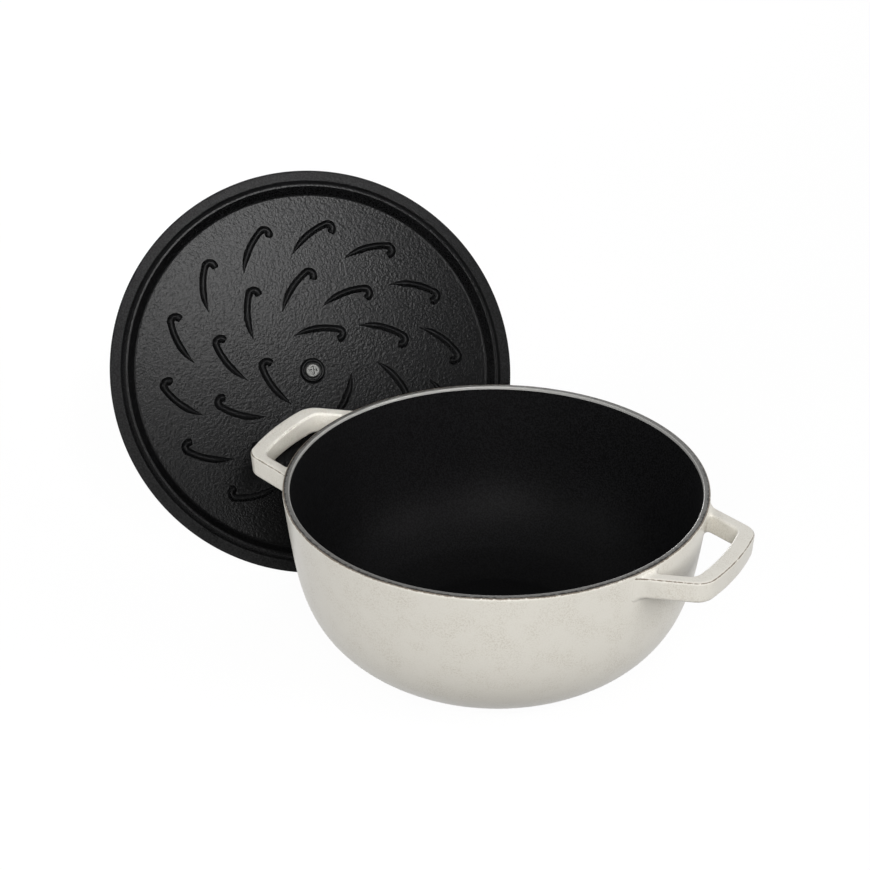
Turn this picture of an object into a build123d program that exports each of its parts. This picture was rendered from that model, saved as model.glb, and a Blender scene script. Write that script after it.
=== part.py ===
from build123d import *
import math
import os

# A round French oven of enamelled cast iron, with its lid standing on edge behind it.
# Millimetres. The pot's axis is Z, the table is z = 0, and the two handles lie along X.

# Pot
pot_height = 107.0
mouth_radius = 120.0          # the rim's inner edge
rim_radius = 124.2            # the wall's outside at the rim, before the rim is rounded
base_radius = 70.4            # where the wall's curve would meet the table
base_edge_radius = 2.5
wall = 4.1
floor_thickness = 5.0
floor_radius = 58.0           # the flat part of the floor inside
floor_blend_height = 6.0
bowl_share = 0.74             # share of the wall's opening that is the bowl near the base, not the slope
bowl_power = 5.2
wall_stations = 12
rim_round = 1.6
rim_inner_round = 0.7

# Handles: a loop with two sloping legs and a bar that runs round the pot, narrower towards its underside
handle_reach = 153.5          # from the pot's axis to the bar's outer face, all round
bar_thickness = 10.4
handle_half_width = 32.4      # to the legs' outer faces where they would meet the reach
leg_slope = 19.4              # degrees
leg_thickness = 7.7
handle_root = 104.0           # the legs start inside the wall, at this distance from the axis
handle_drop = 4.2             # from the rim down to the handle's top face
handle_height = 14.0
handle_draft = 1.2            # how far each side leans in from the top face to the underside
outer_corner_radius = 13.0
inner_corner_radius = 7.0
handle_edge_round = 1.5
handle_under_round = 2.3
handle_root_round = 4.0

# Enamel coats
coat = 0.4
pot_coat_bottom = 1.6         # above the table
pot_coat_top = 0.5            # below the rim
lid_coat_start = 3.7          # behind the flange's face

# Lid, measured from the flange's face: the underside is +Z before the lid is stood up
lid_radius = 126.2
lid_edge_flat = 2.2
lid_edge_round = 1.8
lid_face_round = 0.8
lid_top = 6.8                 # depth of the flat top behind the flange's face
lid_shoulder = 9.2            # depth of the raised border of the top
top_flat_radius = 92.0
shoulder_radius = 110.0
bend_radius = 119.5           # a point of the top's curve between shoulder and edge
bend_depth = 7.6
back_turn = 60.0              # degrees round the edge's arc, from the side to where the top's curve starts
field_depth = 2.5             # the field lies this far behind the flange's face
field_radius = 110.0
ring_crest_radius = 116.2
ring_crest_half = 0.7
ring_height = 3.6
ring_crest_rise = 0.25
ring_inner_toe = 111.6
ring_outer_toe = 119.6
ring_round = 0.6

# Drip ridges: canes with a long gentle arc and a small curl at the head
cane_arc_radius = 43.5
cane_arc_turn = 38.4
curl_radius = 3.07
curl_turn = 141.7
ridge_radius = 1.9
ridge_lift = -0.1             # the ridge's centre line above the field
# head's distance from the middle, count, first head's angle, heading at the tail
cane_rings = [(90.4, 14, 0.1, -21.5), (59.6, 10, 13.5, -12.9), (28.5, 3, 48.7, -26.7)]

# Pads across the flange
pad_angles = [-7.0, 112.5, 231.0]
pad_length = 12.0
pad_height = 0.3

# Screw cup, screw and knob
cup_foot_radius = 7.85
cup_lip_radius = 6.8
cup_bore_radius = 5.8
cup_lip_level = 0.3
cup_lip_round = 0.4
cup_foot_rise = 1.6          # where the foot's hollow flare ends, above the field
cup_floor_depth = 1.6
screw_radius = 2.5
screw_hole_radius = 2.8
screw_head_radius = 4.65
screw_head_height = 2.4
screw_head_round = 1.1
screw_tip_depth = 20.0
cross_width = 1.1
cross_span = 5.0
cross_depth = 1.5
knob_foot_radius = 10.0
knob_foot_height = 1.5
knob_neck_radius = 6.5
knob_cap_radius = 18.0
knob_height = 25.0
knob_cap_height = 11.0
knob_cap_round = 1.5
knob_thread_depth = 14.5
thread_clearance = 0.02

# How the lid stands
lid_lean = 33.0               # degrees back from upright
lid_facing = -48.0            # direction that the underside faces, seen from above
lid_centre_x = -166.5
lid_centre_y = 68.2

far = 600.0                   # wider than any piece, for blocks that cut
over = 4.0                    # how far a form that cuts runs past what it cuts
same_place = 0.05             # edges whose centres lie closer than this are the same edge


def revolved(outline):
    return revolve(make_face(outline), Axis.Z)


def wall_radius(share):
    """Outer radius of the wall at a share of the height: a straight taper and a bowl near the base."""
    taper = (1 - bowl_share) * (1 - share)
    bowl = bowl_share * (1 - share) ** bowl_power
    return rim_radius - (rim_radius - base_radius) * (taper + bowl)


def wall_slope(share):
    """How much the wall's radius grows with each millimetre of height."""
    taper = 1 - bowl_share
    bowl = bowl_share * bowl_power * (1 - share) ** (bowl_power - 1)
    return (rim_radius - base_radius) / pot_height * (taper + bowl)


def wall_point(share, depth):
    """A point inside the wall, at the depth square to its outer curve."""
    slope = wall_slope(share)
    length = math.hypot(1, slope)
    return (wall_radius(share) - depth / length, 0, share * pot_height + depth * slope / length)


def bowl_block(inset):
    """The pot's outer form without its hollow, its base edge and rim rounded."""
    top = pot_height - inset
    shares = [(inset + (top - inset) * k / (wall_stations - 1)) / pot_height for k in range(wall_stations)]
    curve = Spline([(wall_radius(share) - inset * math.hypot(1, wall_slope(share)), 0, share * pot_height)
                    for share in shares])
    foot, rim = curve @ 0, curve @ 1
    outline = [
        Line((0, 0, inset), foot),
        curve,
        Line(rim, (0, 0, top)),
        Line((0, 0, top), (0, 0, inset)),
    ]
    block = revolved(outline)
    circles = block.edges().filter_by(GeomType.CIRCLE).sort_by(Axis.Z)
    block = fillet(circles[0], base_edge_radius - inset)
    circles = block.edges().filter_by(GeomType.CIRCLE).sort_by(Axis.Z)
    return fillet(circles[-1], rim_round - inset)


def hollow():
    """The pot's inside, open at the top with a small rounded lip."""
    low = floor_thickness + floor_blend_height
    lip = pot_height - rim_inner_round
    shares = [(low + (lip - low) * k / (wall_stations - 1)) / pot_height for k in range(wall_stations)]
    points = [wall_point(share, wall) for share in shares[:-1]] + [(mouth_radius, 0, lip)]
    curve = Spline([(floor_radius, 0, floor_thickness)] + points, tangents=[(1, 0, 0), (0.1, 0, 1)])
    above = pot_height + over
    outside = mouth_radius + rim_inner_round
    outline = [
        Line((0, 0, floor_thickness), (floor_radius, 0, floor_thickness)),
        curve,
        TangentArc((mouth_radius, 0, lip), (outside, 0, pot_height), tangent=(0, 0, 1)),
        Line((outside, 0, pot_height), (outside, 0, above)),
        Line((outside, 0, above), (0, 0, above)),
        Line((0, 0, above), (0, 0, floor_thickness)),
    ]
    return revolved(outline)


def wedge(near, reach, half, corner):
    """A face between the two legs' lines, its far end an arc about the pot's axis with rounded corners."""
    slope = math.tan(math.radians(leg_slope))
    beyond = handle_reach + over
    near_half = half + slope * (handle_reach - near)
    beyond_half = half - slope * (beyond - handle_reach)
    face = make_face(Polyline((near, -near_half), (beyond, -beyond_half), (beyond, beyond_half),
                              (near, near_half), close=True))
    # The circle is turned so that its own start doesn't lie on the arc that stays.
    face = face & (Rot(0, 0, 180) * Circle(reach))
    return fillet(face.vertices().group_by(Axis.X)[-1], corner)


def handle(inset):
    """One handle on the +X side, its sides leaning in towards the underside and its edges rounded."""
    across = 1 / math.cos(math.radians(leg_slope))
    top = pot_height - handle_drop
    draft = handle_draft / handle_height

    def outer(depth):
        sink = inset + draft * depth
        face = wedge(handle_root, handle_reach - sink, handle_half_width - sink * across,
                     outer_corner_radius - sink)
        return Pos(0, 0, top - depth) * face

    def gap(depth):
        sink = inset + draft * depth
        face = wedge(handle_root - over, handle_reach - bar_thickness + sink,
                     handle_half_width - (leg_thickness - sink) * across, inner_corner_radius + sink)
        return Pos(0, 0, top - depth) * face

    low = handle_height - inset
    loop = loft([outer(low), outer(inset)], ruled=True)
    loop = loop - loft([gap(low + over), gap(inset - over)], ruled=True)

    def rims(face):
        return [edge for edge in face.edges() if edge.center().X > handle_root + same_place]

    loop = fillet(rims(loop.faces().sort_by(Axis.Z)[-1]), handle_edge_round - inset)
    return fillet(rims(loop.faces().sort_by(Axis.Z)[0]), handle_under_round - inset)


def pot_block(inset):
    """Bowl and both handles in one, with rounded roots and no hollow."""
    bowl = bowl_block(inset)
    right = handle(inset)
    block = bowl
    for side in (right, Rot(0, 0, 180) * right):
        before = block.edges() + side.edges()
        block = block + side
        seams = [edge for edge in block.edges() if abs(edge.center().X) > handle_root
                 and edge.center().Z > pot_height / 2
                 and all(edge.center().sub(old.center()).length > same_place for old in before)]
        block = fillet(seams, handle_root_round + inset)
    return block


def slab(low, high):
    return Pos(0, 0, (low + high) / 2) * Box(far, far, high - low)


def pot_parts():
    """The iron casting and the enamel coat that covers its outer wall and handles."""
    whole = pot_block(0.0)
    core = pot_block(coat)
    coat_top = pot_height - pot_coat_top
    skin = (whole - core) & slab(pot_coat_bottom, coat_top)
    bare_ends = (whole & slab(-far, pot_coat_bottom)) + (whole & slab(coat_top, far))
    casting = core + bare_ends - hollow()
    return casting, skin


def lid_back(inset, turn):
    """The lid's top side as an outline, moved into the iron by inset."""
    edge = lid_radius - lid_edge_round
    corner = lid_edge_round - inset
    start = (edge + corner * math.cos(turn), 0, -lid_edge_flat - corner * math.sin(turn))
    rise = Spline(
        [start, (bend_radius, 0, inset - bend_depth), (shoulder_radius, 0, inset - lid_shoulder),
         (top_flat_radius, 0, inset - lid_top)],
        tangents=[(-math.sin(turn), 0, -math.cos(turn)), (-1, 0, 0)])
    return start, rise


def lid_block(inset):
    """The lid's whole form with its ring and a flat field, without cup, ridges and hole."""
    turn = math.radians(back_turn)
    start, rise = lid_back(inset, turn)
    side = lid_radius - inset
    front = lid_radius - lid_face_round
    crest_in = ring_crest_radius - ring_crest_half
    crest_out = ring_crest_radius + ring_crest_half
    ring_toe = ring_outer_toe - ring_round
    outline = [
        Line((0, 0, inset - lid_top), (top_flat_radius, 0, inset - lid_top)),
        rise,
        TangentArc(start, (side, 0, -lid_edge_flat), tangent=(math.sin(turn), 0, math.cos(turn))),
        Line((side, 0, -lid_edge_flat), (side, 0, -lid_face_round)),
        Line((side, 0, -lid_face_round), (front, 0, 0)),
        Line((front, 0, 0), (ring_outer_toe, 0, 0)),
        Line((ring_outer_toe, 0, 0), (ring_toe, 0, ring_round)),
        Line((ring_toe, 0, ring_round), (crest_out, 0, ring_height)),
        ThreePointArc((crest_out, 0, ring_height), (ring_crest_radius, 0, ring_height + ring_crest_rise),
                      (crest_in, 0, ring_height)),
        Line((crest_in, 0, ring_height), (ring_inner_toe, 0, ring_round - field_depth)),
        Line((ring_inner_toe, 0, ring_round - field_depth), (field_radius, 0, -field_depth)),
        Line((field_radius, 0, -field_depth), (0, 0, -field_depth)),
        Line((0, 0, -field_depth), (0, 0, inset - lid_top)),
    ]
    return revolved(outline)


def cane(head_radius, angle, heading):
    """One drip ridge: a round bar along a gentle arc that ends in a small curl, with round ends."""
    start_heading = angle + heading
    turns = [(cane_arc_radius, cane_arc_turn), (curl_radius, curl_turn)]

    def after(point, direction, radius, turn):
        middle = (point[0] + radius * math.sin(direction), point[1] - radius * math.cos(direction))
        end = direction - math.radians(turn)
        return (middle[0] - radius * math.sin(end), middle[1] + radius * math.cos(end)), end, middle

    # The curl's middle is found for a tail at the origin, and the whole cane is moved to its place.
    direction = math.radians(start_heading)
    bend, bend_direction, _ = after((0, 0), direction, *turns[0])
    _, _, curl_middle = after(bend, bend_direction, *turns[1])
    level = ridge_lift - field_depth
    shift = (head_radius * math.cos(math.radians(angle)) - curl_middle[0],
             head_radius * math.sin(math.radians(angle)) - curl_middle[1])
    point, bar = shift, None
    for radius, turn in turns:
        half, half_direction, _ = after(point, direction, radius, turn / 2)
        end, end_direction, _ = after(point, direction, radius, turn)
        path = ThreePointArc((*point, level), (*half, level), (*end, level))
        section = Plane(path @ 0, z_dir=path % 0) * Circle(ridge_radius)
        piece = sweep(section, path) + Pos(*point, level) * Sphere(ridge_radius)
        bar = piece if bar is None else bar + piece
        point, direction = end, end_direction
    return bar + Pos(*point, level) * Sphere(ridge_radius)


def screw_cup():
    """The raised cup round the screw's head, as a turned form on the field."""
    flare = cup_foot_radius - cup_lip_radius
    flare_top = cup_foot_rise - field_depth
    bend = flare * (1 - math.cos(math.radians(45)))
    root = -field_depth - flare
    lip = cup_lip_level - cup_lip_round
    outline = [
        Line((0, 0, root), (cup_foot_radius, 0, root)),
        Line((cup_foot_radius, 0, root), (cup_foot_radius, 0, -field_depth)),
        ThreePointArc((cup_foot_radius, 0, -field_depth), (cup_lip_radius + bend, 0, flare - bend - field_depth),
                      (cup_lip_radius, 0, flare_top)),
        Line((cup_lip_radius, 0, flare_top), (cup_lip_radius, 0, lip)),
        ThreePointArc((cup_lip_radius, 0, lip), ((cup_lip_radius + cup_bore_radius) / 2, 0, cup_lip_level),
                      (cup_bore_radius, 0, lip)),
        Line((cup_bore_radius, 0, lip), (cup_bore_radius, 0, -cup_floor_depth)),
        Line((cup_bore_radius, 0, -cup_floor_depth), (0, 0, -cup_floor_depth)),
        Line((0, 0, -cup_floor_depth), (0, 0, root)),
    ]
    return revolved(outline)


def pad(angle):
    """A low pad across the flange."""
    ring = Cylinder(lid_radius - lid_face_round, pad_height) - Cylinder(ring_outer_toe, pad_height)
    width = lid_radius - ring_outer_toe
    cutter = Pos(ring_outer_toe + width / 2, 0, 0) * Box(2 * width, pad_length, pad_height)
    return Rot(0, 0, angle) * (Pos(0, 0, pad_height / 2) * (ring & cutter))


def lid_parts():
    """The lid's iron casting and the enamel coat on its top side, lying with the underside up."""
    whole, core = lid_block(0.0), lid_block(coat)
    hole = Cylinder(screw_hole_radius, far)
    behind = slab(-far, -lid_coat_start)
    skin = ((whole - core) & behind) - hole
    casting = whole - skin + screw_cup()
    for head_radius, count, first, heading in cane_rings:
        for k in range(count):
            casting = casting + cane(head_radius, first + 360 * k / count, heading)
    for angle in pad_angles:
        casting = casting + pad(angle)
    return casting - hole, skin


def knob():
    """A turned knob with a foot, a narrow neck and a domed cap, threaded for the screw."""
    cap_foot = knob_height - knob_cap_height
    foot_edge = (knob_foot_radius, 0, knob_foot_height)
    under_cap = (knob_cap_radius - knob_cap_round, 0, cap_foot)
    cap_edge = (knob_cap_radius, 0, cap_foot + knob_cap_round)
    dome_edge = (knob_cap_radius, 0, cap_foot + 2 * knob_cap_round)
    top = (0, 0, knob_height)
    outline = [
        Line((0, 0, 0), (knob_foot_radius, 0, 0)),
        Line((knob_foot_radius, 0, 0), foot_edge),
        Spline([foot_edge, (knob_neck_radius, 0, cap_foot / 2), under_cap],
               tangents=[(-1, 0, 0.4), (1, 0, 0.15)]),
        Line(under_cap, cap_edge),
        Line(cap_edge, dome_edge),
        Spline([dome_edge, top], tangents=[(0, 0, 1), (-1, 0, 0)]),
        Line(top, (0, 0, 0)),
    ]
    thread = Pos(0, 0, knob_thread_depth / 2) * Cylinder(screw_radius + thread_clearance, knob_thread_depth)
    turned = revolved(outline) - thread
    return Pos(0, 0, -lid_top) * (Rot(180, 0, 0) * turned)


def knob_screw():
    """Pan head screw with a cross recess, its head in the cup and its tip in the knob."""
    head_top = screw_head_height - cup_floor_depth
    head = Pos(0, 0, head_top - screw_head_height / 2) * Cylinder(screw_head_radius, screw_head_height)
    head = fillet(head.edges().sort_by(Axis.Z)[-1], screw_head_round)
    length = screw_tip_depth - cup_floor_depth
    shank = Pos(0, 0, -cup_floor_depth - length / 2) * Cylinder(screw_radius, length)
    slot = Pos(0, 0, head_top - cross_depth / 2) * Box(cross_span, cross_width, cross_depth)
    return head + shank - slot - Rot(0, 0, 90) * slot


def stood_up(shape, lift):
    """Puts a lid piece in its place, with the underside facing forward and the edge on the table."""
    facing, lean = math.radians(lid_facing), math.radians(lid_lean)
    normal = (math.cos(facing) * math.cos(lean), math.sin(facing) * math.cos(lean), math.sin(lean))
    across = (-math.sin(facing), math.cos(facing), 0)
    place = Plane(origin=(lid_centre_x, lid_centre_y, lift), x_dir=across, z_dir=normal)
    return place.location * shape


def edge_lift():
    """Height of the lid's centre at which its rounded edge just touches the table."""
    lean = math.radians(lid_lean)
    middle = (lid_radius - lid_edge_round) * math.cos(lean) + lid_edge_flat * math.sin(lean)
    return middle + lid_edge_round


def write(name, shape):
    export_step(shape, f"parts/{name}.step")


def main():
    os.makedirs("parts", exist_ok=True)
    pot_casting, pot_enamel = pot_parts()
    write("pot_casting", pot_casting)
    write("pot_enamel", pot_enamel)
    lift = edge_lift()
    lid_casting, lid_enamel = lid_parts()
    lid_pieces = {"lid_casting": lid_casting, "lid_enamel": lid_enamel, "knob": knob(),
                  "knob_screw": knob_screw()}
    for name, shape in lid_pieces.items():
        write(name, stood_up(shape, lift))


main()
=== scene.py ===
import math

import bpy
import numpy as np
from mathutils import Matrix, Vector


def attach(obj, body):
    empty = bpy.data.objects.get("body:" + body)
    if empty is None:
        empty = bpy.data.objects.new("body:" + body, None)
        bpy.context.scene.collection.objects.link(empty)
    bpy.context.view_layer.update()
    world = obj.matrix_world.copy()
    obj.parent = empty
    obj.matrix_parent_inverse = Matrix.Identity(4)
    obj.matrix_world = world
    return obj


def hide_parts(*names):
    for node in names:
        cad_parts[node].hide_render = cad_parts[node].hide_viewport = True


# Round French oven of enamelled cast iron, its lid standing on edge behind it.
# Shapes are worked out in millimetres in the CAD frame and go into the meshes in metres.

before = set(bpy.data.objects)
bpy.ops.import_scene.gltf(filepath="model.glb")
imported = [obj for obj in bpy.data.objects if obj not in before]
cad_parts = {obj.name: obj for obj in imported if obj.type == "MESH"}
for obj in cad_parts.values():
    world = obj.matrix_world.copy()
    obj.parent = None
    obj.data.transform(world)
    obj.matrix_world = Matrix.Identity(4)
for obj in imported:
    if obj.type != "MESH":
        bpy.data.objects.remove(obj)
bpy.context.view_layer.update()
mm = 0.001
print("CAD frame loaded")


# Quads between neighbouring rings of a grid whose columns run round; closed joins the last ring to the first.
def ringQuads(rows, cols, closed):
    r = np.arange(rows if closed else rows - 1)[:, None]
    c = np.arange(cols)[None, :]
    nextRow = (r + 1) % rows
    nextCol = (c + 1) % cols
    corners = [r * cols + c, r * cols + nextCol, nextRow * cols + nextCol, nextRow * cols + c]
    return np.stack(corners, -1).reshape(-1, 4)


# A closed skin from rings of points (rows x columns x 3). Poles close its two ends with fans,
# and without poles the last ring joins the first. bands gives each row's material, and one number per point
# marks wear and thin glaze, and on the rim and the handles' inner sides painted highlight and painted shade.
def skin(rings, poles=None, bands=None, wearAndPaintedLight=None):
    rows, cols = rings.shape[:2]
    points = rings.reshape(-1, 3)
    quads = ringQuads(rows, cols, poles is None)
    bands = np.zeros(rows, int) if bands is None else np.asarray(bands)
    wearAndPaintedLight = np.zeros((rows, cols)) if wearAndPaintedLight is None else wearAndPaintedLight
    wearAndPaintedLight = wearAndPaintedLight.reshape(-1)
    quadSlots = np.repeat(bands[: len(quads) // cols], cols)
    fans = np.zeros((0, 3), int)
    fanSlots = np.zeros(0, int)
    if poles is not None:
        c = np.arange(cols)
        nextCol = (c + 1) % cols
        last = (rows - 1) * cols
        firstFan = np.stack([np.full(cols, rows * cols), nextCol, c], -1)
        lastFan = np.stack([np.full(cols, rows * cols + 1), last + c, last + nextCol], -1)
        fans = np.concatenate([firstFan, lastFan])
        fanSlots = np.repeat([bands[0], bands[rows - 2]], cols)
        points = np.concatenate([points, np.array(poles, float)])
        wearAndPaintedLight = np.concatenate([wearAndPaintedLight, wearAndPaintedLight[:1], wearAndPaintedLight[-1:]])
    return {"points": points, "quads": quads, "fans": fans, "wearAndPaintedLight": wearAndPaintedLight,
            "quadSlots": quadSlots, "fanSlots": fanSlots}


# Several skins as one, each one's faces counted on from the points before it.
def joined(skins):
    counts = np.cumsum([0] + [len(s["points"]) for s in skins])
    whole = {key: np.concatenate([s[key] for s in skins]) for key in skins[0] if key not in ("quads", "fans")}
    for key in ("quads", "fans"):
        whole[key] = np.concatenate([s[key] + n for s, n in zip(skins, counts)])
    return whole


# Writes a skin into a new object at the origin, its place in its mesh.
def makePiece(name, part, materials, body, nodes=()):
    mesh = bpy.data.meshes.new(name)
    quads, fans = part["quads"], part["fans"]
    corners = np.concatenate([quads.ravel(), fans.ravel()])
    sizes = np.concatenate([np.full(len(quads), 4), np.full(len(fans), 3)])
    starts = np.concatenate([[0], np.cumsum(sizes)[:-1]])
    faceSlots = np.concatenate([part["quadSlots"], part["fanSlots"]])
    mesh.vertices.add(len(part["points"]))
    mesh.vertices.foreach_set("co", (part["points"] * mm).astype(np.float32).ravel())
    mesh.loops.add(len(corners))
    mesh.loops.foreach_set("vertex_index", corners.astype(np.int32))
    mesh.polygons.add(len(sizes))
    mesh.polygons.foreach_set("loop_start", starts.astype(np.int32))
    mesh.polygons.foreach_set("material_index", faceSlots.astype(np.int32))
    mesh.polygons.foreach_set("use_smooth", np.ones(len(sizes), bool))
    mesh.attributes.new("wearAndPaintedLight", "FLOAT", "POINT").data.foreach_set("value", part["wearAndPaintedLight"].astype(np.float32))
    for material in materials:
        mesh.materials.append(material)
    mesh.update(calc_edges=True)
    mesh.validate()
    piece = bpy.data.objects.new(name, mesh)
    bpy.context.scene.collection.objects.link(piece)
    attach(piece, body)
    if nodes:
        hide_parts(*nodes)
    print(name, "made,", len(sizes), "faces")
    return piece


# Turns a profile of (r, z) points round the Z axis: x = r cos a, y = r sin a.
def turned(profile, cols):
    a = np.arange(cols) * 2 * math.pi / cols
    r, z = profile[:, :1], profile[:, 1:]
    return np.stack([r * np.cos(a), r * np.sin(a), z + 0 * a], -1)


# A profile of straight runs joined by arcs, from corners (r, z, radius, slot of the run that follows).
# An arc swings from one tangent point, radius / tan(half the corner's angle) before the corner, to the other
# about its centre. A long run's points crowd towards its ends, as the cosine of an evenly turned angle.
def roundedProfile(corners, spacing=4.0, closed=False, steps=6):
    p = np.array([c[:2] for c in corners], float)
    radius = np.array([c[2] for c in corners], float)
    slots = [c[3] if len(c) > 3 else 0 for c in corners]
    if not closed:
        radius[[0, -1]] = 0
    back, onward = np.roll(p, 1, 0) - p, np.roll(p, -1, 0) - p
    back /= np.linalg.norm(back, axis=1)[:, None]
    onward /= np.linalg.norm(onward, axis=1)[:, None]
    half = np.arccos(np.clip((back * onward).sum(1), -1, 1)) / 2
    points, bands, ends = [], [], []
    for k in range(len(p)):
        if radius[k] == 0:
            ends.append(p[k : k + 1])
            continue
        reach = radius[k] / math.tan(half[k])
        first, last = p[k] + back[k] * reach, p[k] + onward[k] * reach
        middle = (back[k] + onward[k]) / np.linalg.norm(back[k] + onward[k])
        centre = p[k] + middle * radius[k] / math.sin(half[k])
        sweep = math.pi - 2 * half[k]
        t = np.linspace(0, 1, steps + 1)[:, None]
        shareFirst, shareLast = np.sin((1 - t) * sweep), np.sin(t * sweep)
        arc = (shareFirst * (first - centre) + shareLast * (last - centre)) / math.sin(sweep)
        ends.append(centre + arc)
    for k, arc in enumerate(ends):
        points.append(arc)
        if k + 1 < len(ends) or closed:
            target = ends[(k + 1) % len(ends)][0]
            length = np.linalg.norm(target - arc[-1])
            count = int(length / spacing) + (2 if length > spacing / 2 else 1)
            t = (1 - np.cos(np.pi * np.arange(1, count) / count))[:, None] / 2
            points.append(arc[-1] + (target - arc[-1]) * t)
        bands.append(np.full(sum(map(len, points)) - sum(map(len, bands)), slots[k]))
    return np.concatenate(points), np.concatenate(bands)


# Cubic curve from p to q with slopes given as vectors.
def hermite(p, q, slopeP, slopeQ, count):
    t = np.linspace(0, 1, count)[:, None]
    p, q, slopeP, slopeQ = (np.array(v, float) for v in (p, q, slopeP, slopeQ))
    return ((2 * t**3 - 3 * t**2 + 1) * p + (t**3 - 2 * t**2 + t) * slopeP
            + (3 * t**2 - 2 * t**3) * q + (t**3 - t**2) * slopeQ)


# 0 below 0, 1 above 1, and 3t^2 - 2t^3 between.
def smooth(t):
    t = np.clip(t, 0, 1)
    return t * t * (3 - 2 * t)


# A bell, e^-((x - middle) / width)^2.
def bell(x, middle, width):
    return np.exp(-(((x - middle) / width) ** 2))


# Materials. A small kit for nodes: each helper adds one node and links what it is given.
def newMaterial(name):
    material = bpy.data.materials.new(name)
    material.use_nodes = True
    tree = material.node_tree
    return material, tree, tree.nodes["Principled BSDF"]


def addNode(tree, kind, inputs=(), **settings):
    node = tree.nodes.new(kind)
    for key, value in settings.items():
        setattr(node, key, value)
    for key, value in dict(inputs).items():
        if isinstance(value, bpy.types.NodeSocket):
            tree.links.new(value, node.inputs[key])
        else:
            node.inputs[key].default_value = value
    return node


# Noise on the piece's own coordinates, its lumps about size millimetres across.
def noise(tree, size, detail=2.0, roughness=0.5):
    place = addNode(tree, "ShaderNodeTexCoord").outputs["Object"]
    inputs = {"Vector": place, "Scale": 1 / (size * mm), "Detail": detail, "Roughness": roughness}
    return addNode(tree, "ShaderNodeTexNoise", inputs).outputs[0]


# Reads the per-point value: real wear and thin glaze, and on the rim and handles painted highlight and
# painted shade.
def wearAndPaintedLightMap(tree):
    return addNode(tree, "ShaderNodeAttribute", attribute_name="wearAndPaintedLight").outputs["Fac"]


def combined(tree, operation, a, b):
    return addNode(tree, "ShaderNodeMath", {0: a, 1: b}, operation=operation).outputs[0]


def ramp(tree, value, low, high, lowOut=0.0, highOut=1.0):
    node = addNode(tree, "ShaderNodeMapRange", {"Value": value, "From Min": low, "From Max": high,
                                                "To Min": lowOut, "To Max": highOut})
    node.interpolation_type = "SMOOTHSTEP"
    return node.outputs[0]


def mixed(tree, share, a, b):
    node = addNode(tree, "ShaderNodeMix", data_type="RGBA")
    for socket, value in ((node.inputs[0], share), (node.inputs[6], a), (node.inputs[7], b)):
        if isinstance(value, bpy.types.NodeSocket):
            tree.links.new(value, socket)
        else:
            socket.default_value = value
    return node.outputs[2]


# Adds a bump on top of those the shader has already, its depth in millimetres.
def bumped(tree, shader, height, depth, strength=1.0):
    before = shader.inputs["Normal"].links[0].from_socket if shader.inputs["Normal"].links else None
    inputs = {"Height": height, "Distance": depth * mm, "Strength": strength}
    if before:
        inputs["Normal"] = before
    node = addNode(tree, "ShaderNodeBump", inputs)
    tree.links.new(node.outputs[0], shader.inputs["Normal"])


enamel = {
    "cream": (0.80, 0.775, 0.71, 1),
    "grain": (0.62, 0.58, 0.50, 1),
    "thinGlazeAndShade": (0.16, 0.125, 0.09, 1),
    "roughness": 0.3,
    "specular": 0.35,
    "grainSize": 0.9,
    "grainSpan": (0.42, 0.68),
    "cloudSize": 14.0,
    "cloudSpan": (0.35, 0.7, 0.15, 0.75),
    "raggedSize": 2.2,
    "raggedSpan": (0.18, 0.45, 0, 0.95),
    "ripple": (3.0, 0.05, 0.6),     # size, depth, strength
    "skin": (0.7, 0.02, 0.5),
}


# Off-white glaze: fine sandy grain, slow clouds of tone, and brown iron showing through where it runs thin.
# The same brown is painted shade on the handles' inner sides towards their lower edge.
def creamEnamel():
    material, tree, shader = newMaterial("creamEnamel")
    grain = ramp(tree, noise(tree, enamel["grainSize"], 3.0, 0.6), *enamel["grainSpan"])
    cloud = ramp(tree, noise(tree, enamel["cloudSize"], 2.0), *enamel["cloudSpan"])
    base = mixed(tree, combined(tree, "MULTIPLY", grain, cloud), enamel["cream"], enamel["grain"])
    ragged = combined(tree, "MULTIPLY", wearAndPaintedLightMap(tree), noise(tree, enamel["raggedSize"], 3.0, 0.65))
    # Brown where the glaze runs thin, and painted shade on the handles' inner sides.
    base = mixed(tree, ramp(tree, ragged, *enamel["raggedSpan"]), base, enamel["thinGlazeAndShade"])
    tree.links.new(base, shader.inputs["Base Color"])
    shader.inputs["Roughness"].default_value = enamel["roughness"]
    shader.inputs["Specular IOR Level"].default_value = enamel["specular"]
    for size, depth, strength in (enamel["ripple"], enamel["skin"]):
        bumped(tree, shader, noise(tree, size, 2.0), depth, strength)
    return material


black = {
    # colour, roughness, specular level, depth of the pebbles
    "inside": ((0.004, 0.004, 0.0043, 1), 0.5, 0.06, 0.066),
    "lid": ((0.003, 0.003, 0.0032, 1), 0.23, 0.06, 0.0792),
    "flange": ((0.006, 0.006, 0.0062, 1), 0.36, 0.05, 0.066),
    "pebbleSize": 1.0,
    "crestSpan": (0.38, 0.62),
    # Pits darkened as painted shade, crests paled as painted highlight.
    "pitShadeShare": 0.6,
    "crestHighlightShare": 1.7,
}


# Iron's sandy pebbles in two sizes, under the given gloss.
def pebbled(name, roughness, specular, depth):
    material, tree, shader = newMaterial(name)
    shader.inputs["Roughness"].default_value = roughness
    shader.inputs["Specular IOR Level"].default_value = specular
    for size in (2 * black["pebbleSize"], black["pebbleSize"]):
        bumped(tree, shader, noise(tree, size, 0.0), depth)
    return material, tree, shader


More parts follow.
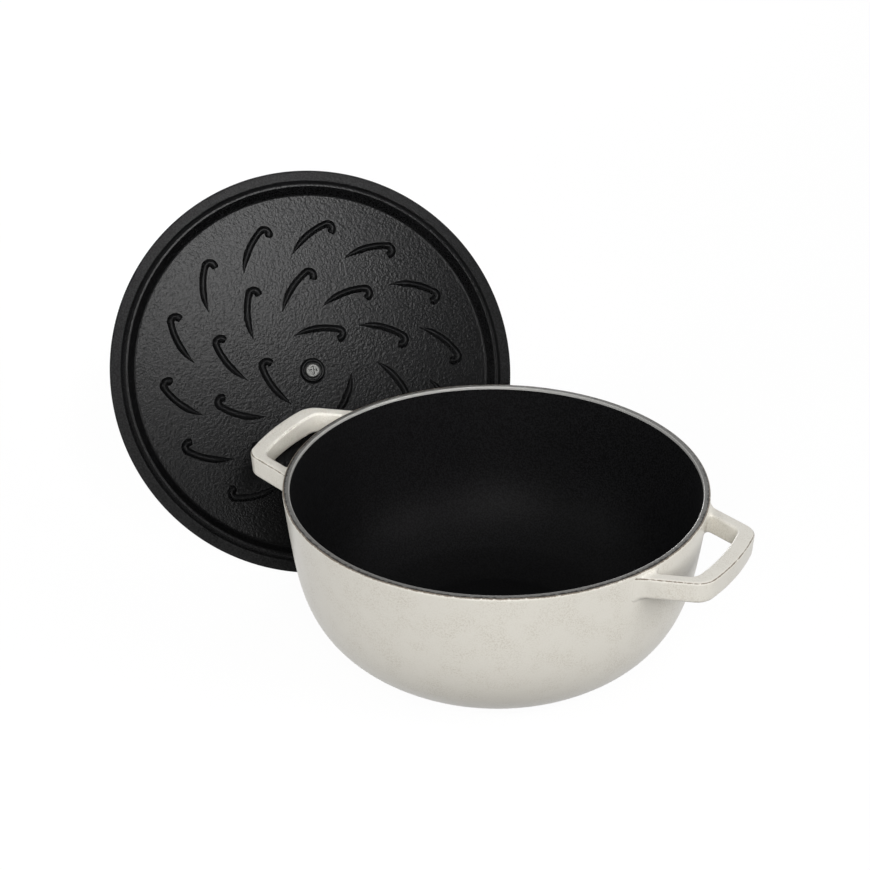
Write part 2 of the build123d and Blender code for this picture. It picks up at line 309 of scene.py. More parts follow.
# Black enamel over cast iron, paler on its pebbles' crests as painted highlight and darker in their pits as
# painted shade.
def blackEnamel(name, color, *gloss):
    material, tree, shader = pebbled(name, *gloss)
    crests = ramp(tree, noise(tree, black["pebbleSize"], 1.0), *black["crestSpan"])
    pit, crest = ([*(share * c for c in color[:3]), 1] for share in (black["pitShadeShare"], black["crestHighlightShare"]))
    tree.links.new(mixed(tree, crests, pit, crest), shader.inputs["Base Color"])
    return material


bareRim = {
    # lip is a pale painted highlight along the inner lip, top the iron's own grey, edge a painted shade over
    # dark iron where the glaze stops.
    "lip": (0.38, 0.375, 0.36, 1),
    "top": (0.14, 0.137, 0.13, 1),
    "edge": (0.015, 0.013, 0.011, 1),
    "gloss": (0.3, 0.3, 0.0066),     # roughness, specular level, depth of the pebbles
    "lipHighlightSpan": (0.05, 0.22),
    "edgeShadeSpan": (0.95, 1.2),
    "raggedSize": 2.5,
}


# The bare rim: a pale painted highlight along its inner lip, grey iron on top, and a dark line of painted
# shade over dark iron where the glaze of the wall stops short. Its per-point value goes from 0 at the mouth
# to 1 at the outside.
def rimIron():
    material, tree, shader = pebbled("rimIron", *bareRim["gloss"])
    wearAndPaintedLight = wearAndPaintedLightMap(tree)
    ragged = combined(tree, "ADD", wearAndPaintedLight, noise(tree, bareRim["raggedSize"], 3.0, 0.6))
    # Painted highlight along the inner lip, then painted shade over dark iron at the glaze's ragged stop.
    color = mixed(tree, ramp(tree, wearAndPaintedLight, *bareRim["lipHighlightSpan"]), bareRim["lip"], bareRim["top"])
    color = mixed(tree, ramp(tree, ragged, *bareRim["edgeShadeSpan"]), color, bareRim["edge"])
    tree.links.new(color, shader.inputs["Base Color"])
    return material


metal = {
    # colour, roughness
    "nickel": ((0.70, 0.67, 0.61, 1), 0.22),
    "screwSteel": ((0.06, 0.06, 0.058, 1), 0.4),
}


def brightMetal(name, color, roughness):
    material, _, shader = newMaterial(name)
    shader.inputs["Base Color"].default_value = color
    shader.inputs["Metallic"].default_value = 1.0
    shader.inputs["Roughness"].default_value = roughness
    return material


cream = creamEnamel()
insideBlack = blackEnamel("insideBlack", *black["inside"])
lidBlack = blackEnamel("lidBlack", *black["lid"])
flangeBlack = blackEnamel("flangeBlack", *black["flange"])
rimBare = rimIron()
nickel = brightMetal("nickel", *metal["nickel"])
screwSteel = brightMetal("screwSteel", *metal["screwSteel"])
print("materials made")

pot = {
    "height": 107.0,
    "rimRadius": 124.2,
    "baseRadius": 70.4,
    "bowlShare": 0.74,
    "bowlPower": 5.2,
    "wall": 4.1,
    "mouthRadius": 120.0,
    "floorRadius": 58.0,
    "floorThickness": 5.0,
    "blendHeight": 6.0,
    "blendSlopes": ((-9, -11), (-13, 0)),
    "baseRound": 2.5,
    "rimRound": 1.6,
    "lipRound": 0.7,
    "ironSink": 0.1,                # the iron's outside lies this deep in the coat
    "coatBottom": 1.6,
    "coatTop": 106.68,
    "coatWander": (0.25, 0.2),      # at the bottom and at the top
    "coatEdge": (0.4, 0.16),        # depths that the coat's edge bends in to
    "coatInside": 0.6,
    "thinBand": (3.0, 1.1),         # where the glaze runs thin, at the bottom and at the top
    "poleRadius": 2.0,
    "cols": 384,
}


# Outer radius of the wall: the rim's radius less a straight taper and a bowl that closes near the base.
def wallRadius(z):
    s = 1 - z / pot["height"]
    spread = pot["rimRadius"] - pot["baseRadius"]
    straight, bowl = (1 - pot["bowlShare"]) * s, pot["bowlShare"] * np.abs(s) ** pot["bowlPower"]
    return pot["rimRadius"] - spread * (straight + bowl)


# The wall's line moved inward square to itself.
def insetWall(z, inset):
    step = 0.01
    slope = (wallRadius(z + step) - wallRadius(z - step)) / (2 * step)
    length = np.hypot(1, slope)
    return np.stack([wallRadius(z) - inset / length, z + inset * slope / length], -1)


# The finished outside with its rounded rim: above the rounding's centre the wall bends in along a circle.
def outsideRadius(z):
    over = np.clip(z - (pot["height"] - pot["rimRound"]), 0, pot["rimRound"])
    return wallRadius(z) - pot["rimRound"] + np.sqrt(pot["rimRound"] ** 2 - over**2)


def potIron():
    low = pot["floorThickness"] + pot["blendHeight"]
    lip = pot["height"] - pot["lipRound"]
    clearOfRim = (3.0, 1.5)         # outside and inside, the wall's points stop this far below the rim
    outside = insetWall(np.linspace(1.0, pot["height"] - clearOfRim[0], 60), pot["ironSink"])
    inside = insetWall(np.linspace(lip - clearOfRim[1], low, 50), pot["wall"])
    blend = hermite(inside[-1], (pot["floorRadius"], pot["floorThickness"]), *pot["blendSlopes"], 14)[1:]
    corners = [(pot["poleRadius"], 0, 0, 0), (wallRadius(0), 0, pot["baseRound"], 0)]
    corners += [(*p, 0, 0) for p in outside]
    corners += [(pot["rimRadius"] - 0.12, pot["height"], pot["rimRound"], 1),
                (pot["mouthRadius"], pot["height"], pot["lipRound"], 1)]
    corners += [(*p, 0, 2) for p in np.concatenate([inside, blend])]
    corners += [(pot["poleRadius"], pot["floorThickness"], 0, 2)]
    profile, bands = roundedProfile(corners)
    poles = [(0, 0, 0), (0, 0, pot["floorThickness"])]
    rings = turned(profile, pot["cols"])
    # 0 at the mouth to 1 at the outside: places the rim's painted highlight and painted shade.
    wearAndPaintedLight = np.clip((profile[:, 0] - pot["mouthRadius"]) / (pot["rimRadius"] - pot["mouthRadius"]), 0, 1)
    return skin(rings, poles, bands, np.broadcast_to(wearAndPaintedLight[:, None], rings.shape[:2]))


# The glaze's edge wanders up and down the wall in slow waves of a few lengths.
def edgeWander(a, reach):
    long = np.sin(5 * a + 1.0) + 0.7 * np.sin(13 * a + 2.1)
    short = 0.5 * np.sin(31 * a) + 0.35 * np.sin(67 * a + 0.6)
    return reach * (long + short) / 2.5


def potCoat():
    a = np.arange(pot["cols"]) * 2 * math.pi / pot["cols"]
    bottom = pot["coatBottom"] + edgeWander(a + 2, pot["coatWander"][0])
    top = pot["coatTop"] + edgeWander(a, pot["coatWander"][1])
    # Going up outside, over the top, and down inside the iron: share of the height, depth under the surface.
    up, down, edge = (1 - np.cos(np.linspace(0, math.pi, 70))) / 2, np.linspace(1, 0, 12), pot["coatEdge"]
    share = np.concatenate([[0, 0], up, [1, 1], down])
    depth = np.concatenate([edge, 0 * up, edge[::-1], 0 * down + pot["coatInside"]])
    z = bottom[None, :] + share[:, None] * (top - bottom)[None, :]
    r = outsideRadius(z) - depth[:, None]
    rings = np.stack([r * np.cos(a), r * np.sin(a), z], -1)
    fromTop, fromBottom = top[None, :] - z, z - bottom[None, :]
    wearAndPaintedLight = np.maximum(1 - smooth(fromTop / pot["thinBand"][1]), 1 - smooth(fromBottom / pot["thinBand"][0]))
    return skin(rings, wearAndPaintedLight=wearAndPaintedLight)


handle = {
    "reach": 153.5,           # from the pot's axis to the bar's outer face, all round
    "barDepth": 10.4,
    "halfWidth": 32.4,
    "legSlope": 19.4,
    "legDepth": 7.7,
    "top": 102.8,
    "height": 14.0,
    "draft": 1.2,
    "outerCorner": 13.0,
    "innerCorner": 7.0,
    "topRound": 1.5,
    "underRound": 2.3,
    "rootLength": 5.0,
    "rootSide": 4.0,
    "rootUp": 2.0,
    "rootDown": 2.0,
    "rootHidden": 1.5,        # how far the leg's end goes on inside the wall
    "sectionWidth": 10.0,     # as drawn; the loop stretches its middle to suit the bar and the legs
    "grip": 3.7,              # how much of it keeps its shape at either side
    "wornLine": (0.45, 0.5),  # how far in from the edge, and how wide
    # Painted shade on the inner side towards the lower edge: its amount, and how far up it reaches.
    "paintedShadeInside": (0.5, 4.0),
}


# One plan curve of the handle: a corner arc that touches the leg's line and the bar's arc about the pot's
# axis, then the bar's arc, then the other corner. With slope t the corner's centre is (x, A - t x), and it
# solves (A - t x)^2 + x^2 = (R - c)^2.
def planCurve(radius, half, corner):
    slope = math.radians(handle["legSlope"])
    t = math.tan(slope)
    a = half + t * handle["reach"] - corner / math.cos(slope)
    x = (a * t + math.sqrt((a * t) ** 2 - (1 + t * t) * (a * a - (radius - corner) ** 2))) / (1 + t * t)
    y = a - t * x
    start, end = math.pi / 2 - slope, math.atan2(y, x)
    steps = 14
    onCorner = np.linspace(start, end, steps)
    onBar = np.linspace(end, -end, 26)[1:-1]
    psi = np.concatenate([onCorner, onBar, -onCorner[::-1]])
    side = np.sign(psi)
    normal = np.stack([np.cos(psi), np.sin(psi)], -1)
    centre = np.stack([0 * psi + x, side * y], -1)
    curve = centre + corner * normal
    curve[steps:-steps] = radius * normal[steps:-steps]
    return curve, normal


# A section with rounded corners, narrower below, carried along the loop. Each of its points hangs between the
# outer and inner plan curve by its weight. Near the wall the section swells along a quarter ellipse, so that
# the root has a round fillet.
def handleSkin():
    slope = math.radians(handle["legSlope"])
    across = 1 / math.cos(slope)
    width, grip = handle["sectionWidth"], handle["grip"]
    half = handle["height"] / 2
    corners = [(width, half, handle["topRound"]), (width - handle["draft"], -half, handle["underRound"]),
               (handle["draft"], -half, handle["underRound"]), (0, half, handle["topRound"])]
    section, _ = roundedProfile(corners, 2.5, closed=True, steps=7)
    u, rise = section.T
    weight = np.clip((u - grip) / (width - 2 * grip), 0, 1)
    offset = np.where(u < grip, u, np.where(u > width - grip, u - width, grip * (1 - 2 * weight)))
    # The glaze is worn along the upper edges. On the inner side towards its lower edge a brown painted shade
    # darkens it.
    inset, soft = handle["wornLine"]
    wearAndPaintedLight = bell(rise, half - inset, soft) * (bell(u, width - inset, soft) + 0.5 * bell(u, inset, soft))
    thinGlazeAndShade, reachUp = handle["paintedShadeInside"]
    wearAndPaintedLight = wearAndPaintedLight + thinGlazeAndShade * bell(rise, -half, reachUp) * smooth(1 - u / grip)

    outer, outerNormal = planCurve(handle["reach"], handle["halfWidth"], handle["outerCorner"])
    inner, innerNormal = planCurve(handle["reach"] - handle["barDepth"],
                                   handle["halfWidth"] - handle["legDepth"] * across, handle["innerCorner"])
    w, off = weight[None, :, None], offset[None, :, None]
    onOuter = outer[:, None] + off * outerNormal[:, None]
    onInner = inner[:, None] + off * innerNormal[:, None]
    plan = w * onOuter + (1 - w) * onInner
    level = np.broadcast_to(handle["top"] - half + rise[None, :, None], plan.shape[:2] + (1,))
    middle = np.concatenate([plan, level], -1)

    # First leg: straight lines from the corner towards the wall, and the fillet.
    legEnd, legNormal = middle[0], np.array([math.sin(slope), math.cos(slope), 0])
    outward = (u / width * 2 - 1)[:, None] * legNormal * handle["rootSide"]
    upward = (rise / half)[:, None] * np.array([0, 0, 1.0])
    grow = outward + upward * np.where(rise > 0, handle["rootUp"], handle["rootDown"])[:, None]
    towards = np.array([-math.cos(slope), math.sin(slope), 0])

    def toWall(q):
        radius = wallRadius(q[..., 2])
        dot = (q * towards).sum(-1)
        return -dot - np.sqrt(dot**2 - (q[..., 0] ** 2 + q[..., 1] ** 2 - radius**2))

    phi = np.linspace(math.pi / 2, 0, 10)[:, None]
    swollen = legEnd[None] + grow[None] * (1 - np.cos(phi))[..., None]
    reach = toWall(swollen) - handle["rootLength"] * (1 - np.sin(phi))
    fillet = swollen + towards * reach[..., None]
    hidden = fillet[:1] + towards * handle["rootHidden"]
    legShare = np.linspace(1, 0, 9)[1:-1, None]
    leg = legEnd[None] + towards * (legShare * (toWall(legEnd) - handle["rootLength"]))[..., None]
    first = np.concatenate([hidden, fillet, leg])
    second = first[::-1] * np.array([1, -1, 1])
    rings = np.concatenate([first, middle, second])
    poles = [hidden[0].mean(0), hidden[0].mean(0) * np.array([1, -1, 1])]
    return rings, poles, np.broadcast_to(wearAndPaintedLight, rings.shape[:2])


lid = {
    "lean": 33.0,
    "facing": -48.0,
    "centreX": -166.5,
    "centreY": 68.2,
    "radius": 126.2,
    "edgeFlat": 2.2,
    "edgeRound": 1.8,
    "top": 6.8,
    "topFlat": 92.0,
    "shoulder": 9.2,
    "shoulderRadius": 110.0,
    "stepSlopes": ((22, 0), (16, 0)),
    "bendPower": 2.2,
    "bendTurn": 49.6,         # how far the edge's arc goes on round below the level
    "ironSink": 0.12,         # the iron's top side lies this deep in the coat
    "coatInside": 0.5,
    "field": -2.5,
    "cols": 416,
}


# From the lid's own frame, underside up, to where it stands: turned to its facing and leant back.
def standUp(points):
    facing, lean = math.radians(lid["facing"]), math.radians(lid["lean"])
    normal = np.array([math.cos(facing) * math.cos(lean), math.sin(facing) * math.cos(lean), math.sin(lean)])
    across = np.array([-math.sin(facing), math.cos(facing), 0])
    up = np.cross(normal, across)
    edge = lid["radius"] - lid["edgeRound"]
    rise = edge * math.cos(lean) + lid["edgeFlat"] * math.sin(lean) + lid["edgeRound"]
    origin = np.array([lid["centreX"], lid["centreY"], rise])
    return points @ np.stack([across, up, normal]) + origin


def stoodUp(part):
    return {**part, "points": standUp(part["points"])}


# The lid's top side as (r, z): flat, a hollow step down to the shoulder, and a power curve up to the edge's
# arc, all moved inward square to itself.
def lidBack(inset, innerRadius):
    turnAway = math.radians(lid["bendTurn"])
    edge = lid["radius"] - lid["edgeRound"]
    start = np.array([edge + lid["edgeRound"] * math.cos(turnAway),
                      -lid["edgeFlat"] - lid["edgeRound"] * math.sin(turnAway)])
    flat = np.stack([np.linspace(innerRadius, lid["topFlat"] - 2, 24), np.full(24, -lid["top"])], -1)
    flatEnd, shoulder = (lid["topFlat"], -lid["top"]), (lid["shoulderRadius"], -lid["shoulder"])
    step = hermite(flatEnd, shoulder, *lid["stepSlopes"], 14)
    t = np.linspace(0, 1, 14)[1:]
    rise = np.stack([lid["shoulderRadius"] + (start[0] - lid["shoulderRadius"]) * t,
                     -lid["shoulder"] + (start[1] + lid["shoulder"]) * t ** lid["bendPower"]], -1)
    line = np.concatenate([flat, step, rise])
    slope = np.gradient(line[:, 1]) / np.gradient(line[:, 0])
    length = np.hypot(1, slope)
    return line + inset * np.stack([-slope / length, 1 / length], -1)


def lidIron():
    edge = lid["radius"] - lid["edgeRound"]
    arcRadius = lid["edgeRound"] - 0.02
    turns = np.linspace(math.radians(lid["bendTurn"]), 0, 7)[1:]
    arc = np.stack([edge + arcRadius * np.cos(turns), -lid["edgeFlat"] - arcRadius * np.sin(turns)], -1)
    side = lid["radius"]
    hole = 2.8
    corners = [(hole, lid["ironSink"] - lid["top"], 0.15, 0)]
    corners += [(*p, 0, 0) for p in lidBack(lid["ironSink"], 4.0)]
    corners += [(*p, 0, 1) for p in arc]
    corners += [
        (side, 0, 0.8, 1),            # flange
        (119.6, 0, 0.5, 2),           # foot of the ring's outer slope
        (117.0, 3.85, 0.7, 2),        # crest
        (115.4, 3.85, 0.7, 2),
        (111.0, lid["field"], 1.6, 0),
        (90, lid["field"], 0, 0),
        (7.6, lid["field"], 0.9, 0),  # screw cup
        (6.85, 0.3, 0.45, 0),
        (5.8, 0.3, 0.45, 0),
        (5.8, -1.6, 0.3, 0),
        (hole, -1.6, 0.15, 0),
    ]
    profile, bands = roundedProfile(corners, 3.0, closed=True)
    return stoodUp(skin(turned(profile, lid["cols"]), bands=bands))


# The glaze on the lid's top side, out along its surface and back inside the iron.
def lidCoat():
    hole = 3.0
    outside = lidBack(0, hole)
    inside = lidBack(lid["coatInside"], hole)[::-1]
    tip = outside[-1] + np.array([[0.06, 0.25], [-0.1, 0.42]])
    lead = outside[0] + np.array([[-0.2, 0.15]])
    profile = np.concatenate([outside, tip, inside, lead])
    wearAndPaintedLight = np.zeros(len(profile))
    wearAndPaintedLight[len(outside) - 4 : len(outside) + 3] = [0.3, 0.6, 0.9, 1, 1, 1, 0.5]
    rings = turned(profile, lid["cols"])
    return stoodUp(skin(rings, wearAndPaintedLight=np.broadcast_to(wearAndPaintedLight[:, None], rings.shape[:2])))


ridge = {
    # head's distance from the middle, count, first head's angle, heading of the tail
    "rings": [(90.4, 14, 0.1, -21.5), (59.6, 10, 13.5, -12.9), (28.5, 3, 48.7, -26.7)],
    "arcRadius": 43.5,
    "arcTurn": 38.4,
    "curlRadius": 3.07,
    "curlTurn": 141.7,
    "halfWidth": 2.3,
    "height": 2.1,
    "sunk": 0.5,
    "taper": 13.0,
    "tailSize": 0.12,
    "headSwell": 0.12,
    "hillPower": 0.65,
}


# Drip ridges: canes on the field. A cane runs clockwise along a long arc, then along a small curl. Its
# section is a hill, height ((1 + cos(pi u)) / 2)^power with u from -1 to 1 across, small at the tail and
# round at the head.
def dripRidges():
    bigTurn, smallTurn = math.radians(ridge["arcTurn"]), math.radians(ridge["curlTurn"])
    longArc, curl = ridge["arcRadius"] * bigTurn, ridge["curlRadius"] * smallTurn
    whole = longArc + curl
    cap = ridge["halfWidth"]
    ends = cap * (1 - np.cos(np.linspace(0, math.pi / 2, 6)))
    alongArc, alongCurl = np.linspace(0.05, longArc, 34)[:-1], np.linspace(longArc, whole, 12)
    s = np.concatenate([alongArc, alongCurl, whole + ends[1:-1]])
    onArc = np.clip(s, 0, longArc)
    beyond = np.clip(s - longArc, 0, curl)
    past = np.clip(s - whole, 0, None)
    turn1, turn2 = onArc / ridge["arcRadius"], beyond / ridge["curlRadius"]
    # Tail at the origin heading along +x, turning clockwise.
    x = ridge["arcRadius"] * np.sin(turn1)
    y = -ridge["arcRadius"] * (1 - np.cos(turn1))
    x = x + ridge["curlRadius"] * (np.sin(turn1 + turn2) - np.sin(turn1))
    y = y - ridge["curlRadius"] * (np.cos(turn1) - np.cos(turn1 + turn2))
    heading = -(turn1 + turn2)
    x, y = x + past * np.cos(heading), y + past * np.sin(heading)
    curlMiddle = (ridge["arcRadius"] * math.sin(bigTurn) - ridge["curlRadius"] * math.sin(bigTurn),
                  -ridge["arcRadius"] * (1 - math.cos(bigTurn)) - ridge["curlRadius"] * math.cos(bigTurn))
    x, y = x - curlMiddle[0], y - curlMiddle[1]
    size = ridge["tailSize"] + (1 - ridge["tailSize"]) * smooth((s / ridge["taper"]) ** 0.7)
    size = size * (1 + ridge["headSwell"] * smooth((s - longArc + 2) / 4))
    size = size * np.sqrt(np.clip(1 - (past / cap) ** 2, 0.02, 1))

    u = np.linspace(-1, 1, 19)
    hill = ((1 + np.cos(math.pi * u)) / 2) ** ridge["hillPower"]
    acrossUnit = np.concatenate([-u, [-0.6, 0, 0.6]]) * ridge["halfWidth"]
    level = np.concatenate([hill * ridge["height"] - 0.04, np.full(3, -ridge["sunk"])])
    wide = acrossUnit[None, :] * size[:, None]
    z = lid["field"] + level[None, :] * np.where(level > 0, size[:, None], 1.0)
    px = x[:, None] - np.sin(heading)[:, None] * wide
    py = y[:, None] + np.cos(heading)[:, None] * wide
    canes = []
    for headRadius, count, first, tail in ridge["rings"]:
        for k in range(count):
            angle = math.radians(first + 360 * k / count)
            turn = angle + math.radians(tail)
            cx, cy = headRadius * math.cos(angle), headRadius * math.sin(angle)
            rings = np.stack([cx + px * math.cos(turn) - py * math.sin(turn),
                              cy + px * math.sin(turn) + py * math.cos(turn), z], -1)[:, ::-1]
            ends = [rings[0].mean(0), rings[-1].mean(0)]
            canes.append(skin(rings, ends))
    return stoodUp(joined(canes))


pads = {"angles": [-7.0, 112.5, 231.0], "length": 12.0, "width": 5.2, "height": 0.3, "middle": 122.6}


# Low pads across the flange: rings shaped like a rounded rectangle (superellipse), drawn in towards the top.
def flangePads():
    t = np.arange(64) * 2 * math.pi / 64
    c, s = np.cos(t), np.sin(t)
    x = np.sign(c) * np.abs(c) ** 0.35 * pads["width"] / 2
    y = np.sign(s) * np.abs(s) ** 0.35 * pads["length"] / 2
    inset = np.array([0.0, 0.0, 0.06, 0.22, 0.5, 1.2])[:, None]
    z = np.array([-0.4, 0.12, 0.24, 0.29, pads["height"], pads["height"]])[:, None] + 0 * t
    r = pads["middle"] + x * (1 - 2 * inset / pads["width"])
    bend = y * (1 - 2 * inset / pads["length"]) / pads["middle"]
    parts = []
    for angle in pads["angles"]:
        a = math.radians(angle) + bend
        rings = np.stack([r * np.cos(a), r * np.sin(a), z], -1)
        parts.append(skin(rings, [rings[0].mean(0), rings[-1].mean(0)]))
    return stoodUp(joined(parts))


screw = {
    "head": 4.65,
    "height": 2.4,
    "seat": -1.6,
    "round": 1.1,
    "shank": 2.5,
    "tip": -20.0,
    "crossWidth": 1.1,
    "crossSpan": 5.0,
    "crossDepth": 1.3,
    "crossSoft": 0.16,
}


# Pan head screw. Its top sinks by the cross depth where a point lies inside either arm of the cross.
def knobScrew():
    top = screw["seat"] + screw["height"]
    corners = [(0.4, screw["tip"], 0, 0), (screw["shank"], screw["tip"], 0.5, 0),
               (screw["shank"], screw["seat"], 0, 0), (screw["head"], screw["seat"], 0.2, 0),
               (screw["head"], top, screw["round"], 0), (0.15, top, 0, 0)]
    profile, _ = roundedProfile(corners, 1.2)
    inner = np.linspace(profile[-1, 0], screw["head"] - screw["round"] - 0.2, 26)[::-1]
    rim = profile[(profile[:, 1] < top - 1e-6) | (profile[:, 0] > inner[0])]
    profile = np.concatenate([rim, np.stack([inner, 0 * inner + top], -1)])
    rings = turned(profile, 160)

    def inArm(along, across):
        soft = screw["crossSoft"]
        return (smooth((screw["crossWidth"] / 2 - np.abs(across)) / soft + 0.5)
                * smooth((screw["crossSpan"] / 2 - np.abs(along)) / soft + 0.5))

    x, y = rings[..., 0], rings[..., 1]
    inCross = np.maximum(inArm(x, y), inArm(y, x)) * (rings[..., 2] > screw["seat"] + 1)
    rings[..., 2] -= screw["crossDepth"] * inCross
    poles = [(0, 0, screw["tip"]), (0, 0, top - screw["crossDepth"])]
    return stoodUp(skin(rings, poles))


knob = {
    "foot": 10.0,
    "footHeight": 1.5,
    "neck": 6.5,
    "cap": 18.0,
    "height": 25.0,
    "capHeight": 11.0,
    "round": 1.5,
}


# Turned knob: a foot, a neck that swings out to the cap, a short band and a dome.
def knobBody():
    capFoot = knob["height"] - knob["capHeight"]
    waist, shoulder = (knob["neck"], capFoot / 2), (knob["cap"] - knob["round"], capFoot)
    neckLow = hermite((knob["foot"] - 0.6, knob["footHeight"]), waist, (-7, 1.5), (0, 7), 10)
    neckHigh = hermite(waist, shoulder, (0, 9), (16, 1.5), 12)
    dome = hermite((knob["cap"], capFoot + 2 * knob["round"]), (0.4, knob["height"]), (0, 13), (-22, 0), 22)
    corners = [(0.5, 0, 0, 0), (knob["foot"], 0, 0.3, 0), (knob["foot"], knob["footHeight"], 0.4, 0)]
    corners += [(*p, 0, 0) for p in np.concatenate([neckLow, neckHigh[1:]])]
    corners += [(knob["cap"] - 0.4, capFoot + 0.4, 0, 0), (knob["cap"], capFoot + knob["round"], 0, 0)]
    corners += [(*p, 0, 0) for p in dome]
    profile, _ = roundedProfile(corners, 2.0)
    rings = turned(profile, 128)
    poles = np.array([(0, 0, 0), (0, 0, knob["height"])], float)
    # On the lid's top side the knob points to -Z: half a turn about X.
    flip = np.array([1, -1, -1])
    drop = np.array([0, 0, -lid["top"]])
    return stoodUp(skin(rings * flip + drop, poles * flip + drop))


makePiece("potIron", potIron(), [insideBlack, rimBare, insideBlack], "pot", ["pot_casting"])
makePiece("potCoat", potCoat(), [cream], "pot", ["pot_enamel"])
handleRings, handlePoles, handleWearAndShade = handleSkin()
for name, turn in (("handleRight", (1, 1, 1)), ("handleLeft", (-1, -1, 1))):
    loop = skin(handleRings * np.array(turn), np.array(handlePoles) * np.array(turn), wearAndPaintedLight=handleWearAndShade)
    makePiece(name, loop, [cream], "pot", ["pot_enamel"])
makePiece("lidIron", lidIron(), [lidBlack, flangeBlack, lidBlack], "lid", ["lid_casting"])
makePiece("dripRidges", dripRidges(), [lidBlack], "lid", ["lid_casting"])
makePiece("flangePads", flangePads(), [flangeBlack], "lid", ["lid_casting"])
makePiece("lidCoat", lidCoat(), [cream], "lid", ["lid_enamel"])
makePiece("knobScrew", knobScrew(), [screwSteel], "lid", ["knob_screw"])
makePiece("knobBody", knobBody(), [nickel], "lid", ["knob"])

stage = {
    "floorSize": 6000.0,
    "floorGlow": 1.03,
    "shadowShare": 0.08,
    "litFloor": (0.9, 0.9, 0.9, 1),
    "bounce": (0.15, 0.14, 0.12, 1),
    "white": (1, 1, 1, 1),
    "worldLevel": 0.22,
}


# Camera, glossy and transmission rays together.
def seenRays(tree):
    path = addNode(tree, "ShaderNodeLightPath").outputs
    reflected = combined(tree, "MAXIMUM", path["Is Camera Ray"], path["Is Glossy Ray"])
    return combined(tree, "MAXIMUM", reflected, path["Is Transmission Ray"])


# White to the camera and in reflections, with a share of the real lit floor that keeps the soft shadow.
def makeFloor():
    half = stage["floorSize"] / 2 * mm
    mesh = bpy.data.meshes.new("floor")
    corners = [(-half, -half, 0), (half, -half, 0), (half, half, 0), (-half, half, 0)]
    mesh.from_pydata(corners, [], [(0, 1, 2, 3)])
    floor = bpy.data.objects.new("floor", mesh)
    bpy.context.scene.collection.objects.link(floor)
    material = bpy.data.materials.new("whiteFloor")
    material.use_nodes = True
    tree = material.node_tree
    tree.nodes.remove(tree.nodes["Principled BSDF"])
    lit = addNode(tree, "ShaderNodeBsdfDiffuse", {"Color": stage["litFloor"]}).outputs[0]
    glow = {"Color": stage["white"], "Strength": stage["floorGlow"]}
    plain = addNode(tree, "ShaderNodeEmission", glow).outputs[0]
    bounce = addNode(tree, "ShaderNodeBsdfDiffuse", {"Color": stage["bounce"]}).outputs[0]
    seen = addNode(tree, "ShaderNodeMixShader", {0: stage["shadowShare"], 1: plain, 2: lit}).outputs[0]
    whole = addNode(tree, "ShaderNodeMixShader", {0: seenRays(tree), 1: bounce, 2: seen}).outputs[0]
    tree.links.new(whole, tree.nodes["Material Output"].inputs["Surface"])
    mesh.materials.append(material)


# White to the camera and in reflections, and a low even light for the rest.
def makeWorld():
    world = bpy.data.worlds.new("studio")
    bpy.context.scene.world = world
    world.use_nodes = True
    tree = world.node_tree
    shown = addNode(tree, "ShaderNodeBackground", {"Color": stage["white"], "Strength": 1.0}).outputs[0]
    light = tree.nodes["Background"]
    light.inputs["Color"].default_value = stage["white"]
    light.inputs["Strength"].default_value = stage["worldLevel"]
    mix = {0: seenRays(tree), 1: light.outputs[0], 2: shown}
    whole = addNode(tree, "ShaderNodeMixShader", mix).outputs[0]
    tree.links.new(whole, tree.nodes["World Output"].inputs["Surface"])


camera = {
    "distance": 1608.15,
    "elevation": 30.091,
    "yaw": -1.4646,
    "pitch": -1.0079,
    "turn": 27.86,          # the photograph's right is this far round from the part's +X
    "focalPixels": 2772.38,
    "framePixels": 870,
    "sensorWidth": 36.0,
    "clip": (0.05, 20.0),   # metres
}


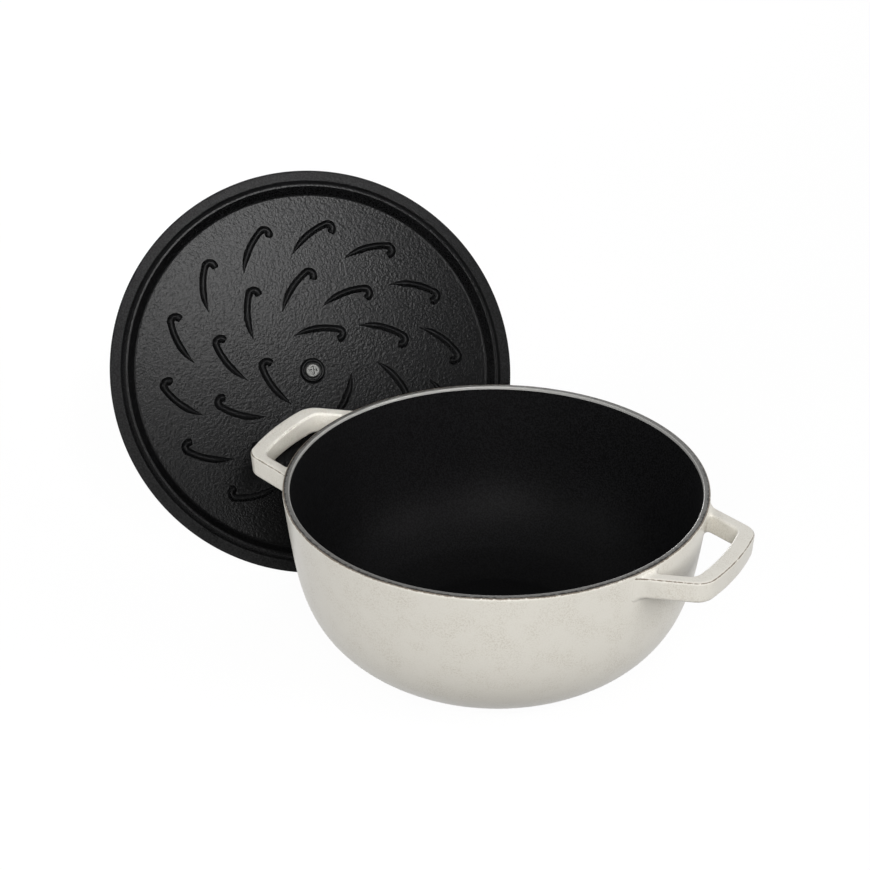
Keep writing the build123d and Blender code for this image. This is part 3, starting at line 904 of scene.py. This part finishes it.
# From axes that face the camera (x right, y away, z up, from the pot's axis) to the part's own.
def fromCameraAxes(x, y, z):
    turn = math.radians(camera["turn"])
    return Vector((x * math.cos(turn) - y * math.sin(turn), x * math.sin(turn) + y * math.cos(turn), z))


def makeCamera():
    elevation, yaw, pitch = (math.radians(camera[key]) for key in ("elevation", "yaw", "pitch"))
    place = fromCameraAxes(0, -camera["distance"] * math.cos(elevation),
                           pot["height"] + camera["distance"] * math.sin(elevation))
    down = elevation + pitch
    look = fromCameraAxes(math.sin(yaw) * math.cos(down), math.cos(yaw) * math.cos(down), -math.sin(down))
    data = bpy.data.cameras.new("camera")
    data.sensor_width = camera["sensorWidth"]
    data.lens = camera["focalPixels"] / camera["framePixels"] * data.sensor_width
    data.clip_start, data.clip_end = camera["clip"]
    view = bpy.data.objects.new("camera", data)
    view.location = place * mm
    view.rotation_euler = look.to_track_quat("-Z", "Y").to_euler()
    bpy.context.scene.collection.objects.link(view)
    bpy.context.scene.camera = view


# Place and aim in camera-facing axes (mm), size (mm), power (W), spread of the beam (degrees). The glow
# stands where the lid's upper half mirrors it into the camera, and its beam is narrow enough to miss most
# of the pot.
lamps = {
    "glow": ((66, -405, 728), (-130, 208, 226), 230, 0.195, 28),
    "left": ((-1450, -680, 680), (-40, 0, 60), 350, 6.2, 180),
    "front": ((-100, -1500, 900), (-20, 0, 60), 800, 17.2, 180),
    "right": ((1450, -700, 900), (0, 0, 60), 900, 13.5, 180),
    "back": ((-300, 1600, 300), (-60, 60, 60), 500, 9.0, 180),
}


def makeLamps():
    for name, (place, aim, size, power, spread) in lamps.items():
        data = bpy.data.lights.new(name, "AREA")
        data.shape = "SQUARE"
        data.size = size * mm
        data.energy = power
        data.spread = math.radians(spread)
        lamp = bpy.data.objects.new(name, data)
        lamp.location = fromCameraAxes(*place) * mm
        look = fromCameraAxes(*aim) - fromCameraAxes(*place)
        lamp.rotation_euler = look.to_track_quat("-Z", "Y").to_euler()
        bpy.context.scene.collection.objects.link(lamp)


makeFloor()
makeWorld()
makeCamera()
makeLamps()
bpy.context.scene.view_settings.view_transform = "Standard"
print("camera, lamps and floor made")
